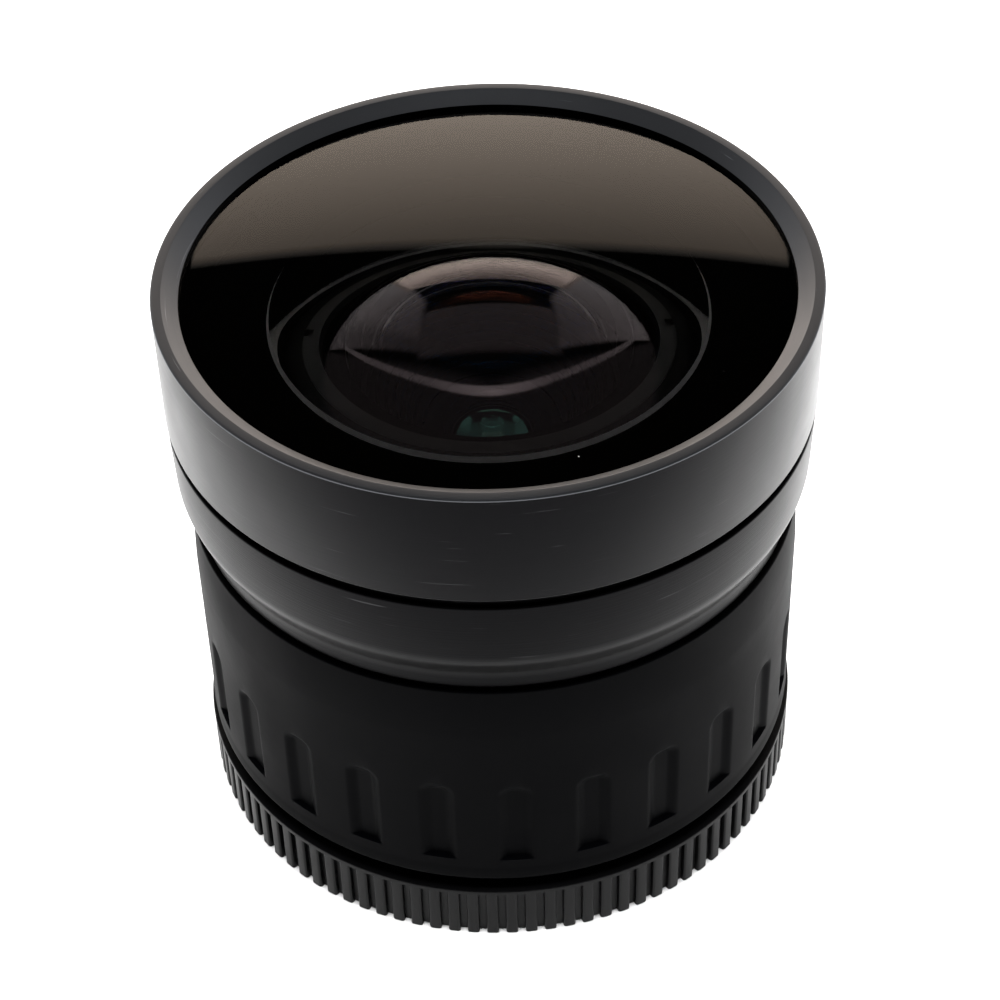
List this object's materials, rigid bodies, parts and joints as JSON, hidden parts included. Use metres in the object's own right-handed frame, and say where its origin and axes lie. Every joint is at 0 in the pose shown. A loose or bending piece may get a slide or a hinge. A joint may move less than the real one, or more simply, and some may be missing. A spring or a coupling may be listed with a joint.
{
  "type": "fisheye lens attachment",
  "caption": "Black screw-on fisheye lens attachment with a wide flat front glass over a domed inner lens, fluted grip sleeve and a ribbed rear cap that unscrews.",
  "frame": {"origin": "middle of the rear cap's underside, on the optical axis", "axes": "+Z along the optical axis, the way the front glass looks; the pictured side faces -Y; +X to its right"},
  "size_m": [0.084, 0.084, 0.0796],
  "materials": {
    "anodised_shell": "satin black anodised, turned",
    "blackened_inside": "matte black anodised",
    "coated_glass": "polished optical glass, multicoated",
    "seal_rubber": "matte",
    "screw_steel": "black oxide",
    "sleeve_plastic": "fine matte moulded",
    "cap_plastic": "semi-matte moulded"
  },
  "bodies": {
    "lens": {"hood_ring": "anodised_shell", "front_element": "coated_glass", "front_seal": "seal_rubber", "barrel": "anodised_shell", "lens_cell": "blackened_inside", "cell_lock_ring": "blackened_inside", "second_element": "coated_glass", "second_retainer": "blackened_inside", "rear_tube": "blackened_inside", "tube_grub_screws": "screw_steel", "middle_baffle": "blackened_inside", "third_element": "coated_glass", "third_retainer": "blackened_inside", "stop_spacer": "blackened_inside", "doublet_crown": "coated_glass", "doublet_flint": "coated_glass", "rear_retainer": "blackened_inside", "mount_ring": "anodised_shell", "rear_plate": "blackened_inside", "plate_screws": "screw_steel", "grip_sleeve": "sleeve_plastic"},
    "rear_cap": {"rear_cap": "cap_plastic"}
  },
  "joints": [
    {"name": "rear_cap_turn", "type": "hinge", "parent": "lens", "child": "rear_cap", "pos_m": [0, 0, 0.0065], "axis": [0, 0, -1], "range_deg": [0, 1350]}
  ]
}
